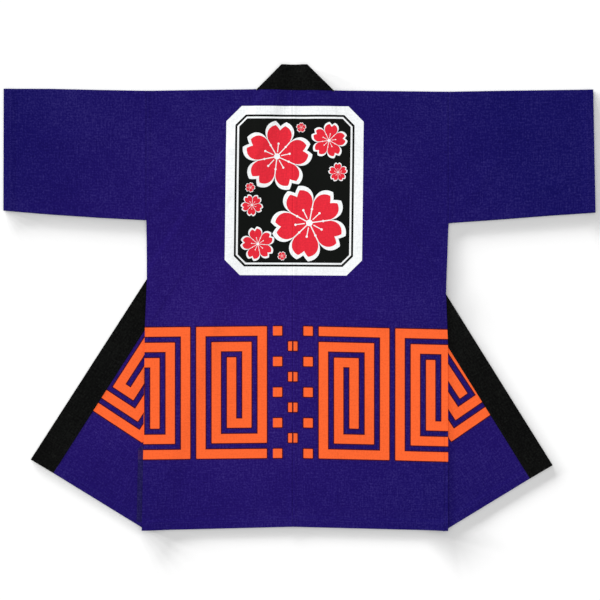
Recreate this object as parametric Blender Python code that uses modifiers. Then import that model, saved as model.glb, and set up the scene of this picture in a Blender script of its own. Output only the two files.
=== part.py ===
"""A happi coat, laid flat on its front with its back up.

The coat is cut from five lengths of cloth. Each half of the body runs from the back
hem over the shoulder and down the front. The sleeves are tubes, pressed flat. The
collar is one long band, folded double, round the neck and down both fronts.

Each front is turned outward under the back along a slanted crease, so a flap with its
collar shows beside the hem. From the top down the layers are back, front and flap.
Each piece is cut flat, scored along its folds, folded, and given its thickness.

Flat points are (out, down): out is away from the centre back seam, down is from the
neck seam towards the hem. All lengths are in metres.
"""

import bpy
import bmesh
from math import cos, pi, radians, sin
from mathutils import Vector

# Cloth
CLOTH = 0.0012
BAND = 0.0020
GAP = 0.0003
HALF_GAP = GAP / 2

# The coat's own frame: the origin is the middle of its outline, on the floor
CENTRE_SEAM_X = -0.0128
NECK_Y = 0.4008
HEM_DOWN_CENTRE = 0.8434

# Collar band
BAND_WIDTH = 0.0491

# The body's neck corner is snipped clear of the collar's fold: how far down, out and along
SNIP_DOWN = 0.0008
SNIP_OUT = 0.0016
SNIP_LENGTH = 0.0060

# How far from an edge below it a layer comes down, beside a free edge and beside a seam,
# and how far it stays up past a fold
DRAPE = 0.0140
SEAM_DRAPE = 0.0080
FOLD_CLEARANCE = 0.0025
DRAPE_STEPS = 4
FOLD_STEPS = 6
MERGE = 2e-5

# Radius of a bend, measured on the right side of the cloth
SHOULDER_RADIUS = CLOTH + HALF_GAP
MITRE_RADIUS = BAND + HALF_GAP
CREASE_RADIUS = HALF_GAP

# One row for each half of the coat. The halves differ because it was laid by hand.
SIDES = {
    "left": {
        "sign": -1,
        "neck_out": 0.0701,
        "neck_down": -0.0014,
        "armhole_out": 0.2826,
        "shoulder_top_neck": -0.0017,
        "shoulder_top_armhole": 0.0015,
        "armpit_down": 0.2517,
        "mitre_angle": 45.0,
        "crease_top": (0.0224, -0.0392),
        "crease_hem": (0.2839, 0.8506),
        "hem_down": 0.8506,
        "front_hem_drop": 0.0038,
        "collar_hem_drop": 0.0046,
        "collar_hem_width": 0.0560,
    },
    "right": {
        "sign": 1,
        "neck_out": 0.0796,
        "neck_down": 0.0011,
        "armhole_out": 0.3006,
        "shoulder_top_neck": 0.0008,
        "shoulder_top_armhole": 0.0033,
        "armpit_down": 0.2573,
        "mitre_angle": 44.4,
        "crease_top": (0.0286, -0.0351),
        "crease_hem": (0.2923, 0.8509),
        "hem_down": 0.8509,
        "front_hem_drop": 0.0055,
        "collar_hem_drop": 0.0068,
        "collar_hem_width": 0.0485,
    },
}

# Side seam below the armpit: (down, out)
SIDE_SEAM = {
    "left": [(0.310, 0.2820), (0.366, 0.2815), (0.457, 0.2853), (0.687, 0.2884), (0.8506, 0.2915)],
    "right": [(0.330, 0.2979), (0.394, 0.2956), (0.490, 0.2992), (0.687, 0.2996), (0.8509, 0.2996)],
}

# Sleeve, from the armhole to the cuff: (top out, top down, bottom out, bottom down)
SLEEVE = {
    "left": [
        (0.2826, 0.0015, 0.2826, 0.2517),
        (0.3740, -0.0002, 0.3740, 0.2469),
        (0.4680, -0.0023, 0.4680, 0.2406),
        (0.5579, -0.0025, 0.5585, 0.2331),
    ],
    "right": [
        (0.3006, 0.0033, 0.3006, 0.2573),
        (0.4010, 0.0014, 0.4010, 0.2503),
        (0.4940, 0.0002, 0.4950, 0.2430),
        (0.5797, -0.0010, 0.5842, 0.2370),
    ],
}

INDIGO = (0.0202, 0.0116, 0.1356, 1.0)
BLACK = (0.0056, 0.0056, 0.0052, 1.0)


class Line:
    """A straight line on the cloth. Its outer side is the one that 'outer' names."""

    def __init__(self, start, end, outer):
        self.start = Vector(start)
        along = (Vector(end) - self.start).normalized()
        self.along = along
        self.out = Vector((along.y, -along.x))
        if self.out.dot(Vector(outer)) < 0:
            self.out.negate()

    def beyond(self, point):
        return (Vector(point) - self.start).dot(self.out)

    def moved(self, distance):
        start = self.start + self.out * distance
        return Line(start, start + self.along, self.out)

    def mirrored(self, point):
        return Vector(point) - self.out * (2 * self.beyond(point))


class Fold(Line):
    """A line where the cloth turns under. The bend takes up an allowance of its length.

    Cloth nearer to the centre seam than 'from_out' isn't folded by it.
    """

    def __init__(self, start, end, outer, allowance, from_out=-1.0):
        super().__init__(start, end, outer)
        self.allowance = allowance
        self.from_out = from_out

    def folds(self, point):
        return point[0] > self.from_out

    def part(self, point):
        """How much of the bend lies behind a flat point, from 0 to 1."""
        if not self.folds(point):
            return 0.0
        return min(max(self.beyond(point) / self.allowance, 0.0), 1.0)

    def turned(self, point):
        """The place of a flat point once the cloth is turned, leaving out the bend's bulge."""
        distance = self.beyond(point)
        if distance <= 0 or not self.folds(point):
            return Vector(point)
        back = min(distance, self.allowance) + 2 * max(distance - self.allowance, 0.0)
        return Vector(point) - self.out * back

    def flat(self, point):
        """The flat point that comes to lie at a turned place."""
        return Vector(point) + self.out * (self.allowance - 2 * self.beyond(point))

    def flat_line(self, line):
        start = self.flat(line.start)
        end = self.flat(line.start + line.along)
        outer = self.flat(line.start + line.out) - start
        return Line(start, end, outer)

    def score_lines(self):
        return [self.moved(self.allowance * i / FOLD_STEPS) for i in range(FOLD_STEPS + 1)]


def smooth(part):
    part = min(max(part, 0.0), 1.0)
    return part * part * (3 - 2 * part)


def drape_lines(line, start, run):
    """The parallel lines between which a layer settles over a run."""
    return [line.moved(start + run * i / DRAPE_STEPS) for i in range(DRAPE_STEPS + 1)]


class Half:
    """The folds, seams and heights of one half of the coat."""

    def __init__(self, name):
        self.name = name
        row = SIDES[name]
        self.row = row
        self.sign = row["sign"]
        self.neck = Vector((row["neck_out"], row["neck_down"]))
        self.band_at_neck = BAND_WIDTH + row["neck_down"]
        self.shoulder = self.make_shoulder()
        self.mitre = self.make_mitre()
        self.crease = Fold(row["crease_top"], row["crease_hem"], (-1, 0), pi * CREASE_RADIUS)
        self.make_front_edge()
        self.strip_seam = Line(self.neck, self.neck + self.front_down, (-1, 0))
        self.flap_edge = self.turned_line(self.free_top, self.free_hem, inner=(-1, 0))
        self.flap_seam = self.turned_line(self.neck, self.seam_hem, inner=(-1, 0))

    def make_shoulder(self):
        row = self.row
        start = (row["neck_out"], row["shoulder_top_neck"] + SHOULDER_RADIUS)
        end = (row["armhole_out"], row["shoulder_top_armhole"] + SHOULDER_RADIUS)
        from_out = row["neck_out"] - SNIP_LENGTH / 2
        return Fold(start, end, (0, -1), pi * SHOULDER_RADIUS, from_out)

    def make_mitre(self):
        """The slanted fold at the corner of the neck, inset so that its bulge meets the corner."""
        angle = radians(self.row["mitre_angle"])
        outer = Vector((sin(angle), -cos(angle)))
        corner = self.neck - outer * MITRE_RADIUS
        top = corner - Vector((cos(angle), sin(angle))) * BAND_WIDTH
        return Fold(corner, top, outer, MITRE_RADIUS / sin(angle) ** 2)

    def make_front_edge(self):
        """The unfolded front's seam and the collar's free edge, from the neck to the hem."""
        row = self.row
        lean = pi / 2 - 2 * radians(row["mitre_angle"])
        self.front_down = Vector((sin(lean), cos(lean)))
        self.front_in = Vector((-cos(lean), sin(lean)))
        hem = row["hem_down"]
        free_start = self.neck + self.front_in * self.band_at_neck
        self.free_top = free_start - self.front_down * self.band_at_neck
        self.free_hem = free_start + self.front_down * (hem + row["collar_hem_drop"])
        self.seam_hem = self.neck + self.front_down * (hem + row["front_hem_drop"])
        self.seam_hem -= self.front_in * (row["collar_hem_width"] - self.band_at_neck)

    def turned_line(self, start, end, inner):
        """A line of the unfolded front as it lies on the flap, its outer side inward."""
        return Line(self.crease.mirrored(start), self.crease.mirrored(end), inner)

    def front_height(self, point):
        """Height of the front's lower face: on the floor, or on the flap or its collar."""
        on_collar = smooth(1 + self.flap_edge.beyond(point) / DRAPE)
        past_seam = smooth(self.flap_seam.beyond(point) / SEAM_DRAPE)
        return (BAND + GAP) * on_collar - (BAND - CLOTH) * past_seam

    def back_height(self, point):
        """Height of the back's lower face: on the front, or on the floor between the creases."""
        on_strip = smooth(1 + self.strip_seam.beyond(point) / SEAM_DRAPE)
        below = self.front_height(point) + CLOTH + (BAND - CLOTH) * on_strip + GAP
        past_fold = smooth((self.crease.beyond(point) - FOLD_CLEARANCE) / DRAPE)
        return below * (1 - past_fold)

    def back_lines(self):
        return (
            drape_lines(self.flap_edge, -DRAPE, DRAPE)
            + drape_lines(self.flap_seam, 0, SEAM_DRAPE)
            + drape_lines(self.strip_seam, -SEAM_DRAPE, SEAM_DRAPE)
            + drape_lines(self.crease, FOLD_CLEARANCE, DRAPE)
        )

    def front_lines(self):
        return (
            drape_lines(self.flap_edge, -DRAPE, DRAPE)
            + drape_lines(self.flap_seam, 0, SEAM_DRAPE)
            + self.crease.score_lines()
        )

    def world(self, point, height):
        return Vector((CENTRE_SEAM_X + self.sign * point.x, NECK_Y - point.y, height))


def bend(fold, point, part, high, low):
    """A point of a bend that runs from one height to another under the fold."""
    radius = (high - low) / 2
    place = point + fold.out * (abs(radius) * sin(pi * part))
    return place, (high + low) / 2 + radius * cos(pi * part)


def lay(half, upper, thickness, flat):
    """Where a flat point lies: on the back, over the upper fold on the front, or on the flap."""
    part = upper.part(flat)
    place = upper.turned(flat)
    if part < 1:
        high = half.back_height(place) + thickness
        if part == 0:
            return half.world(place, high)
        return half.world(*bend(upper, place, part, high, half.front_height(place)))
    part = half.crease.part(place)
    turned = half.crease.turned(place)
    high = half.front_height(turned)
    if part == 0:
        return half.world(turned, high)
    if part < 1:
        return half.world(*bend(half.crease, turned, part, high, thickness))
    return half.world(turned, thickness)


def score(mesh, lines, on_piece):
    """Cuts the faces of one region of the flat cloth along lines."""
    for line in lines:
        faces = [face for face in mesh.faces if on_piece(face.calc_center_median().xy)]
        edges = {edge for face in faces for edge in face.edges}
        corners = {vert for face in faces for vert in face.verts}
        bmesh.ops.bisect_plane(
            mesh,
            geom=faces + list(edges) + list(corners),
            dist=1e-7,
            plane_co=(line.start.x, line.start.y, 0),
            plane_no=(line.out.x, line.out.y, 0),
        )


def cut_cloth(outline):
    """One flat face with the outline of a piece."""
    mesh = bmesh.new()
    mesh.faces.new([mesh.verts.new((point[0], point[1], 0)) for point in outline])
    mesh.normal_update()
    if mesh.faces[:][0].normal.z < 0:
        bmesh.ops.reverse_faces(mesh, faces=mesh.faces[:])
    return mesh


def fold_cloth(mesh, half, upper, thickness):
    """Scores the flat cloth along its folds and drapes, and lays it in place."""
    neck_side = Line((upper.from_out, 0), (upper.from_out, 1), (1, 0))
    score(mesh, [neck_side], lambda point: True)
    score(mesh, upper.score_lines(), upper.folds)
    score(mesh, half.back_lines(), lambda point: upper.part(point) == 0)
    front_lines = [upper.flat_line(line) for line in half.front_lines()]
    score(mesh, front_lines, lambda point: upper.part(point) == 1)
    bmesh.ops.remove_doubles(mesh, verts=mesh.verts[:], dist=MERGE)
    for vert in mesh.verts:
        vert.co = lay(half, upper, thickness, vert.co.xy)
    if half.sign > 0:
        bmesh.ops.reverse_faces(mesh, faces=mesh.faces[:])


def on_shoulder(half, out):
    """The point of the shoulder fold at a distance from the centre seam."""
    along = half.shoulder.along
    return half.shoulder.start + along * ((out - half.shoulder.start.x) / along.x)


def body_outline(half):
    """The cut of one half of the body: the back, and the front beyond the shoulder."""
    row = half.row
    armhole = row["armhole_out"] - HALF_GAP
    shoulder_neck = on_shoulder(half, row["neck_out"] + SNIP_OUT)
    shoulder_arm = on_shoulder(half, armhole)
    side = [Vector((armhole, row["armpit_down"]))]
    side += [Vector((out, down)) for down, out in SIDE_SEAM[half.name]]
    clear = half.front_in * -HALF_GAP
    front_neck = half.neck + half.front_down * SNIP_LENGTH + clear
    front = [shoulder_neck, front_neck, half.seam_hem + clear] + side[::-1] + [shoulder_arm]
    back_top = [
        Vector((HALF_GAP, HALF_GAP)),
        Vector((row["neck_out"] - SNIP_LENGTH, row["neck_down"] + HALF_GAP)),
        Vector((half.shoulder.from_out, shoulder_neck.y + SNIP_DOWN)),
        Vector((shoulder_neck.x, shoulder_neck.y + SNIP_DOWN)),
    ]
    back_hem = [Vector((HALF_GAP, HEM_DOWN_CENTRE))]
    return back_top + [half.shoulder.flat(point) for point in front] + side + back_hem


def build_body(half):
    mesh = cut_cloth(body_outline(half))
    fold_cloth(mesh, half, half.shoulder, CLOTH)
    return mesh


def collar_outline(half):
    """Half of the band, from the middle of the neck to the hem of one front."""
    clear = half.front_in * HALF_GAP
    front = [half.free_hem, half.seam_hem + clear, half.neck + clear]
    middle = [(0, -HALF_GAP), (0, -BAND_WIDTH)]
    return middle + [half.mitre.flat(point) for point in front]


def build_collar(halves):
    """Both halves of the band, joined at the middle of the neck."""
    whole = bmesh.new()
    for half in halves:
        mesh = cut_cloth(collar_outline(half))
        fold_cloth(mesh, half, half.mitre, BAND)
        data = bpy.data.meshes.new("band half")
        mesh.to_mesh(data)
        mesh.free()
        whole.from_mesh(data)
        bpy.data.meshes.remove(data)
    bmesh.ops.remove_doubles(whole, verts=whole.verts[:], dist=MERGE)
    return whole


def sleeve_ring(station, clear):
    """One section of a sleeve: a flat loop with a round fold along the top and bottom."""
    top = Vector(station[0:2]) + Vector((clear, SHOULDER_RADIUS))
    bottom = Vector(station[2:4]) + Vector((clear, -SHOULDER_RADIUS))
    ring = []
    for centre, start in ((top, 0.0), (bottom, pi)):
        for step in range(FOLD_STEPS + 1):
            angle = start + pi * step / FOLD_STEPS
            down = -SHOULDER_RADIUS * sin(angle)
            height = SHOULDER_RADIUS * (1 + cos(angle))
            ring.append((centre + Vector((0, down)), height))
    return ring


def build_sleeve(half):
    """A tube from the armhole to the cuff, pressed flat."""
    mesh = bmesh.new()
    rings = []
    for station in SLEEVE[half.name]:
        clear = 0.0 if rings else HALF_GAP
        ring = sleeve_ring(station, clear)
        rings.append([mesh.verts.new(half.world(place, height)) for place, height in ring])
    for near, far in zip(rings, rings[1:]):
        for i in range(len(near)):
            mesh.faces.new((near[i - 1], near[i], far[i], far[i - 1]))
    bmesh.ops.recalc_face_normals(mesh, faces=mesh.faces[:])
    return mesh


def make_material(name, colour, roughness):
    material = bpy.data.materials.new(name)
    material.use_nodes = True
    shader = material.node_tree.nodes["Principled BSDF"]
    shader.inputs["Base Color"].default_value = colour
    shader.inputs["Roughness"].default_value = roughness
    shader.inputs["Metallic"].default_value = 0.0
    return material


def add_piece(collection, name, mesh, thickness, material):
    """A piece of cloth: its right side is modelled, and Solidify adds the wall behind it."""
    data = bpy.data.meshes.new(name)
    mesh.to_mesh(data)
    mesh.free()
    data.materials.append(material)
    piece = bpy.data.objects.new(name, data)
    collection.objects.link(piece)
    wall = piece.modifiers.new("Wall", "SOLIDIFY")
    wall.thickness = thickness
    wall.offset = -1
    wall.use_even_offset = True
    wall.use_quality_normals = True
    return piece


def main():
    for old in list(bpy.data.objects):
        bpy.data.objects.remove(old, do_unlink=True)
    collection = bpy.data.collections.new("Happi coat")
    bpy.context.scene.collection.children.link(collection)
    halves = [Half("left"), Half("right")]
    for half in halves:
        cloth = make_material("indigo_body_" + half.name, INDIGO, 0.85)
        add_piece(collection, "body_" + half.name, build_body(half), CLOTH, cloth)
        cloth = make_material("indigo_sleeve_" + half.name, INDIGO, 0.85)
        add_piece(collection, "sleeve_" + half.name, build_sleeve(half), CLOTH, cloth)
    band = make_material("black_collar", BLACK, 0.8)
    add_piece(collection, "collar", build_collar(halves), BAND, band)


main()
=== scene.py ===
# %% [markdown]
# # A happi coat, laid flat with its back up
# A happi is the short, straight coat of plain cotton that is worn at Japanese festivals. This
# one lies on its front, pressed flat, and both fronts are turned outward under the back, so a
# flap with its black collar shows on each side of the hem.
#
# The measured solids come in first. They fix where each layer lies. Every piece below is then
# cut flat, like the real cloth, and laid over the same folds with a finer mesh, so that it can
# carry soft creases, seams and a print that follows the cloth round its folds.

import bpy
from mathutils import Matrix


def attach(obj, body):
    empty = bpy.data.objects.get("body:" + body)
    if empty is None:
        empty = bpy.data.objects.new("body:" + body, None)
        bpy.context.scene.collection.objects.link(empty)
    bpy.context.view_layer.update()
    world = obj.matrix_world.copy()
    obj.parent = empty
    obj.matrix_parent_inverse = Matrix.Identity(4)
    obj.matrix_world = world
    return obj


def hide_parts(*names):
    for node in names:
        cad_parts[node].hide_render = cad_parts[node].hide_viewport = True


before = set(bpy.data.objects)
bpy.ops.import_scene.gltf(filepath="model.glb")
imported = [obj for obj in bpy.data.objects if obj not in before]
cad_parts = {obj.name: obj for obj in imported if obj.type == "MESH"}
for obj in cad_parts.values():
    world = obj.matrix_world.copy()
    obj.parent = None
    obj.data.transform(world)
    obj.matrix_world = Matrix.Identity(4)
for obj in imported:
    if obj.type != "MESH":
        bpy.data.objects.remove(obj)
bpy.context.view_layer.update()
print("solids:", ", ".join(sorted(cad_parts)))

# %% Tools
from math import atan, ceil, cos, degrees, pi, radians, sin

import bmesh
import bpy
from mathutils import Matrix, Vector
from mathutils.bvhtree import BVHTree

MM = 0.001

# %% [markdown]
# ## Real sizes
# All lengths are in metres. A point on the cloth is written as (out, down): how far it is from
# the centre back seam, and how far below the neck seam. Those two numbers are how a tailor
# would mark the cloth, and they also make a good UV map, because the print and the weave are
# laid out in the same way. The two halves differ a little, as a coat laid by hand does.

# %% Thicknesses, and the coat's place on the floor
CLOTH = 0.0012
BAND = 0.0020
GAP = 0.0003
HALF_GAP = GAP / 2
CENTRE_SEAM_X = -0.0128
NECK_Y = 0.4008
HEM_DOWN_CENTRE = 0.8434
BAND_WIDTH = 0.0491
BAND_WIDTH_AT_HEM = 0.0510

# %% The neck corner, the folds, the hems, and how far a layer takes to settle beside an edge
SNIP_DOWN = 0.0008
SNIP_OUT = 0.0006
SNIP_LENGTH = 0.0060
DRAPE = 0.0140
SEAM_DRAPE = 0.0080
FOLD_CLEARANCE = 0.0025
FOLD_RUN = 0.0450
FOLD_RUN_SHARE = 0.60
DRAPE_STEPS = 6
FOLD_STEPS = 8
MERGE = 2e-5
HEM_DEPTH = 0.0150
HEM_STEP = 0.0080
HEM_RISE = 0.0008
SHOULDER_RADIUS = CLOTH + HALF_GAP
MITRE_RADIUS = BAND + HALF_GAP
CREASE_RADIUS = HALF_GAP

# %% The measures of each half of the coat, as (left, right)
MEASURES = {
    "sign": (-1, 1),
    "neck_out": (0.0701, 0.0796),
    "neck_down": (-0.0014, 0.0011),
    "armhole_out": (0.2826, 0.3006),
    "shoulder_top_neck": (-0.0017, 0.0008),
    "shoulder_top_armhole": (0.0015, 0.0033),
    "armpit_down": (0.2517, 0.2573),
    "mitre_angle": (45.0, 44.4),
    "crease_top": ((0.0224, -0.0392), (0.0286, -0.0351)),
    "crease_hem": ((0.2839, 0.8506), (0.2923, 0.8509)),
    "hem_down": (0.8506, 0.8509),
    "front_hem_drop": (0.0048, 0.0055),
    "collar_hem_drop": (0.0064, 0.0068),
    "print_slope": (0.010, 0.0235),
    "strip": ([(0.2984, 0.6920), (0.3015, 0.8375), (0.2915, 0.8442), (0.2850, 0.8495)], []),
}

# %% The side seam below the armpit, as (down, out)
SIDE_SEAM = {
    "left": [(0.310, 0.2820), (0.366, 0.2815), (0.457, 0.2853), (0.687, 0.2884), (0.8506, 0.2915)],
    "right": [(0.330, 0.2979), (0.394, 0.2956), (0.490, 0.2992), (0.687, 0.2996), (0.8509, 0.2996)],
}

# %% The sleeve from armhole to cuff, as (top out, top down, bottom out, bottom down)
SLEEVE = {
    "left": [
        (0.2826, 0.0015, 0.2826, 0.2517),
        (0.3740, -0.0002, 0.3740, 0.2469),
        (0.4680, -0.0023, 0.4680, 0.2406),
        (0.5579, -0.0025, 0.5585, 0.2331),
    ],
    "right": [
        (0.3006, 0.0033, 0.3006, 0.2573),
        (0.4010, 0.0014, 0.4010, 0.2503),
        (0.4940, 0.0002, 0.4950, 0.2430),
        (0.5797, -0.0010, 0.5842, 0.2370),
    ],
}
back_width = sum(MEASURES["armhole_out"])
print(f"back {back_width / MM:.0f} mm wide, {HEM_DOWN_CENTRE / MM:.0f} mm long at the centre")

# %% [markdown]
# ## Folds
# A fold is a line on the flat cloth. What lies beyond the line comes to lie mirrored on the
# other side of it, and the bend itself uses up a little length, its allowance. Writing the
# fold this way lets the same few lines serve the shoulder, the mitred neck corner of the
# collar, and the long slanted crease that turns each front outward.


# %% A line on the cloth
class Line:
    """A straight line on the cloth. Its outer side is the one that 'outer' names."""

    def __init__(self, start, end, outer):
        self.start = Vector(start)
        self.along = (Vector(end) - self.start).normalized()
        self.out = Vector((self.along.y, -self.along.x))
        if self.out.dot(Vector(outer)) < 0:
            self.out.negate()

    def beyond(self, point):
        return (Vector(point) - self.start).dot(self.out)

    def at_out(self, out):
        """The point of the line at a distance from the centre seam."""
        return self.start + self.along * ((out - self.start.x) / self.along.x)

    def moved(self, distance):
        start = self.start + self.out * distance
        return Line(start, start + self.along, self.out)

    def mirrored(self, point):
        return Vector(point) - self.out * (2 * self.beyond(point))


# %% A fold, which is a line with an allowance
class Fold(Line):
    """A line where the cloth turns under. Cloth nearer the centre than 'from_out' stays."""

    def __init__(self, start, end, outer, allowance, from_out=-1.0):
        super().__init__(start, end, outer)
        self.allowance = allowance
        self.from_out = from_out

    def folds(self, point):
        return point[0] > self.from_out

    def part(self, point):
        """How much of the bend lies behind a flat point, from 0 to 1."""
        if not self.folds(point):
            return 0.0
        return min(max(self.beyond(point) / self.allowance, 0.0), 1.0)

    def turned(self, point):
        """The place of a flat point once the cloth is turned, without the bend's bulge."""
        distance = self.beyond(point)
        if distance <= 0 or not self.folds(point):
            return Vector(point)
        back = min(distance, self.allowance) + 2 * max(distance - self.allowance, 0.0)
        return Vector(point) - self.out * back

    def flat(self, point):
        """The flat point that comes to lie at a turned place."""
        return Vector(point) + self.out * (self.allowance - 2 * self.beyond(point))

    def flat_line(self, line):
        start = self.flat(line.start)
        end = self.flat(line.start + line.along)
        outer = self.flat(line.start + line.out) - start
        return Line(start, end, outer)

    def score_lines(self):
        return [self.moved(self.allowance * i / FOLD_STEPS) for i in range(FOLD_STEPS + 1)]


# %% How a layer settles: an even curve from 0 to 1, and the lines that the mesh needs for it
def smooth(part):
    part = min(max(part, 0.0), 1.0)
    return part * part * (3 - 2 * part)


def drape_lines(line, start, run):
    return [line.moved(start + run * i / DRAPE_STEPS) for i in range(DRAPE_STEPS + 1)]


# %% A hem is the cloth turned up twice and pressed, so it is thicker, with a soft step inside
def hem_rise(inward):
    """How much a hem rises at a distance inward from its edge."""
    return HEM_RISE * smooth((HEM_DEPTH + HEM_STEP - inward) / HEM_STEP)


# %% [markdown]
# ## The two halves
# From the top down the layers are back, front and flap. Each half works out its own folds and
# seams, and from them how high every layer lies: a layer drops by one thickness where the
# edge below it ends, over a short run, as pressed cotton does.


# %% The folds, seams and heights of one half
class Half:
    def __init__(self, side, name):
        self.name = name
        self.row = row = {measure: pair[side] for measure, pair in MEASURES.items()}
        self.sign = row["sign"]
        self.neck = Vector((row["neck_out"], row["neck_down"]))
        self.band_at_neck = BAND_WIDTH + row["neck_down"]
        self.shoulder = self.make_shoulder()
        self.mitre = self.make_mitre()
        self.crease = Fold(row["crease_top"], row["crease_hem"], (-1, 0), pi * CREASE_RADIUS)
        self.make_front_edge()
        self.make_hems()
        self.strip_seam = Line(self.neck, self.neck + self.front_down, (-1, 0))
        self.flap_edge = self.turned_line(self.free_top, self.free_hem, inner=(-1, 0))
        self.flap_seam = self.turned_line(self.neck, self.seam_hem, inner=(-1, 0))

    def make_shoulder(self):
        row = self.row
        start = (row["neck_out"], row["shoulder_top_neck"] + SHOULDER_RADIUS)
        end = (row["armhole_out"], row["shoulder_top_armhole"] + SHOULDER_RADIUS)
        from_out = row["neck_out"] - SNIP_LENGTH / 2
        return Fold(start, end, (0, -1), pi * SHOULDER_RADIUS, from_out)

    def make_mitre(self):
        """The slanted fold of the collar at the corner of the neck."""
        angle = radians(self.row["mitre_angle"])
        outer = Vector((sin(angle), -cos(angle)))
        corner = self.neck - outer * MITRE_RADIUS
        top = corner - Vector((cos(angle), sin(angle))) * BAND_WIDTH
        return Fold(corner, top, outer, MITRE_RADIUS / sin(angle) ** 2)

    def make_front_edge(self):
        """The unfolded front's seam and the collar's free edge, from the neck to the hem."""
        row = self.row
        lean = pi / 2 - 2 * radians(row["mitre_angle"])
        self.front_down = Vector((sin(lean), cos(lean)))
        self.front_in = Vector((-cos(lean), sin(lean)))
        hem = row["hem_down"]
        free_start = self.neck + self.front_in * self.band_at_neck
        self.free_top = free_start - self.front_down * self.band_at_neck
        self.free_hem = free_start + self.front_down * (hem + row["collar_hem_drop"])
        self.seam_hem = self.neck + self.front_down * (hem + row["front_hem_drop"])
        self.seam_hem -= self.front_in * (BAND_WIDTH_AT_HEM - self.band_at_neck)

    def front_side(self):
        """The front's side. A strip of it may show from under the back, near the hem."""
        seam = [Vector((out, down)) for down, out in SIDE_SEAM[self.name]]
        strip = [Vector(point) for point in self.row["strip"]]
        if not strip:
            return seam
        return [point for point in seam if point.y < strip[0].y] + strip

    def make_hems(self):
        """The edges along which the back and the unfolded front are hemmed."""
        side_hem = (SIDE_SEAM[self.name][-1][1], self.row["hem_down"])
        self.back_hem = Line((0, HEM_DOWN_CENTRE), side_hem, (0, 1))
        self.front_hem = Line(self.front_side()[-1], self.seam_hem, (0, 1))

    def turned_line(self, start, end, inner):
        """A line of the unfolded front as it lies on the flap, its outer side inward."""
        return Line(self.crease.mirrored(start), self.crease.mirrored(end), inner)

    def front_height(self, point):
        """Height of the front's lower face: on the floor, or on the flap or its collar."""
        on_collar = smooth(1 + self.flap_edge.beyond(point) / DRAPE)
        past_seam = smooth(self.flap_seam.beyond(point) / SEAM_DRAPE)
        height = (BAND + GAP) * on_collar - (BAND - CLOTH) * past_seam
        return height + hem_rise(-self.front_hem.beyond(self.crease.mirrored(point)))

    def fold_run(self, point):
        """How far the back takes to come down past the crease: less where the two are close."""
        crease = self.crease
        down = point[1] - crease.start.y
        crease_out = crease.start.x + crease.along.x * down / crease.along.y
        return min(max(FOLD_RUN_SHARE * crease_out, DRAPE), FOLD_RUN)

    def back_height(self, point):
        """Height of the back's lower face: on the front, or on the floor between the creases."""
        on_strip = smooth(1 + self.strip_seam.beyond(point) / SEAM_DRAPE)
        below = self.front_height(point) + CLOTH + (BAND - CLOTH) * on_strip + GAP
        below += hem_rise(-self.front_hem.beyond(point))
        past_fold = self.crease.beyond(point) - FOLD_CLEARANCE
        return below * (1 - smooth(past_fold / self.fold_run(point)))

    def flap_lines(self):
        edge = drape_lines(self.flap_edge, -DRAPE, DRAPE)
        return edge + drape_lines(self.flap_seam, 0, SEAM_DRAPE)

    def front_lines(self):
        return self.flap_lines() + self.crease.score_lines()

    def back_lines(self):
        seam = drape_lines(self.strip_seam, -SEAM_DRAPE, SEAM_DRAPE)
        return self.flap_lines() + seam + drape_lines(self.crease, FOLD_CLEARANCE, DRAPE)

    def hem_rise_at(self, upper, flat):
        """How much thicker a hem makes the body's cloth at a flat point."""
        hem = self.back_hem if upper.part(flat) < 1 else self.front_hem
        return hem_rise(-hem.beyond(upper.turned(flat)))

    def world(self, point, height):
        return Vector((CENTRE_SEAM_X + self.sign * point.x, NECK_Y - point.y, height))


halves = [Half(0, "left"), Half(1, "right")]
for half in halves:
    lean = degrees(atan(half.crease.along.x / half.crease.along.y))
    print(f"{half.name} front is turned along a crease {abs(lean):.1f} degrees from upright")


# %% Where a flat point lies: on the back, over the upper fold, on the front, or on the flap
def bend(fold, point, part, high, low):
    """A point of a round bend that runs from one height to another."""
    radius = (high - low) / 2
    place = point + fold.out * (abs(radius) * sin(pi * part))
    return place, (high + low) / 2 + radius * cos(pi * part)


def lay(half, upper, thickness, flat):
    part = upper.part(flat)
    place = upper.turned(flat)
    if part < 1:
        high = half.back_height(place) + thickness
        if part == 0:
            return half.world(place, high)
        return half.world(*bend(upper, place, part, high, half.front_height(place)))
    part = half.crease.part(place)
    turned = half.crease.turned(place)
    high = half.front_height(turned)
    if part == 0:
        return half.world(turned, high)
    if part < 1:
        return half.world(*bend(half.crease, turned, part, high, thickness))
    return half.world(turned, thickness)
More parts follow.
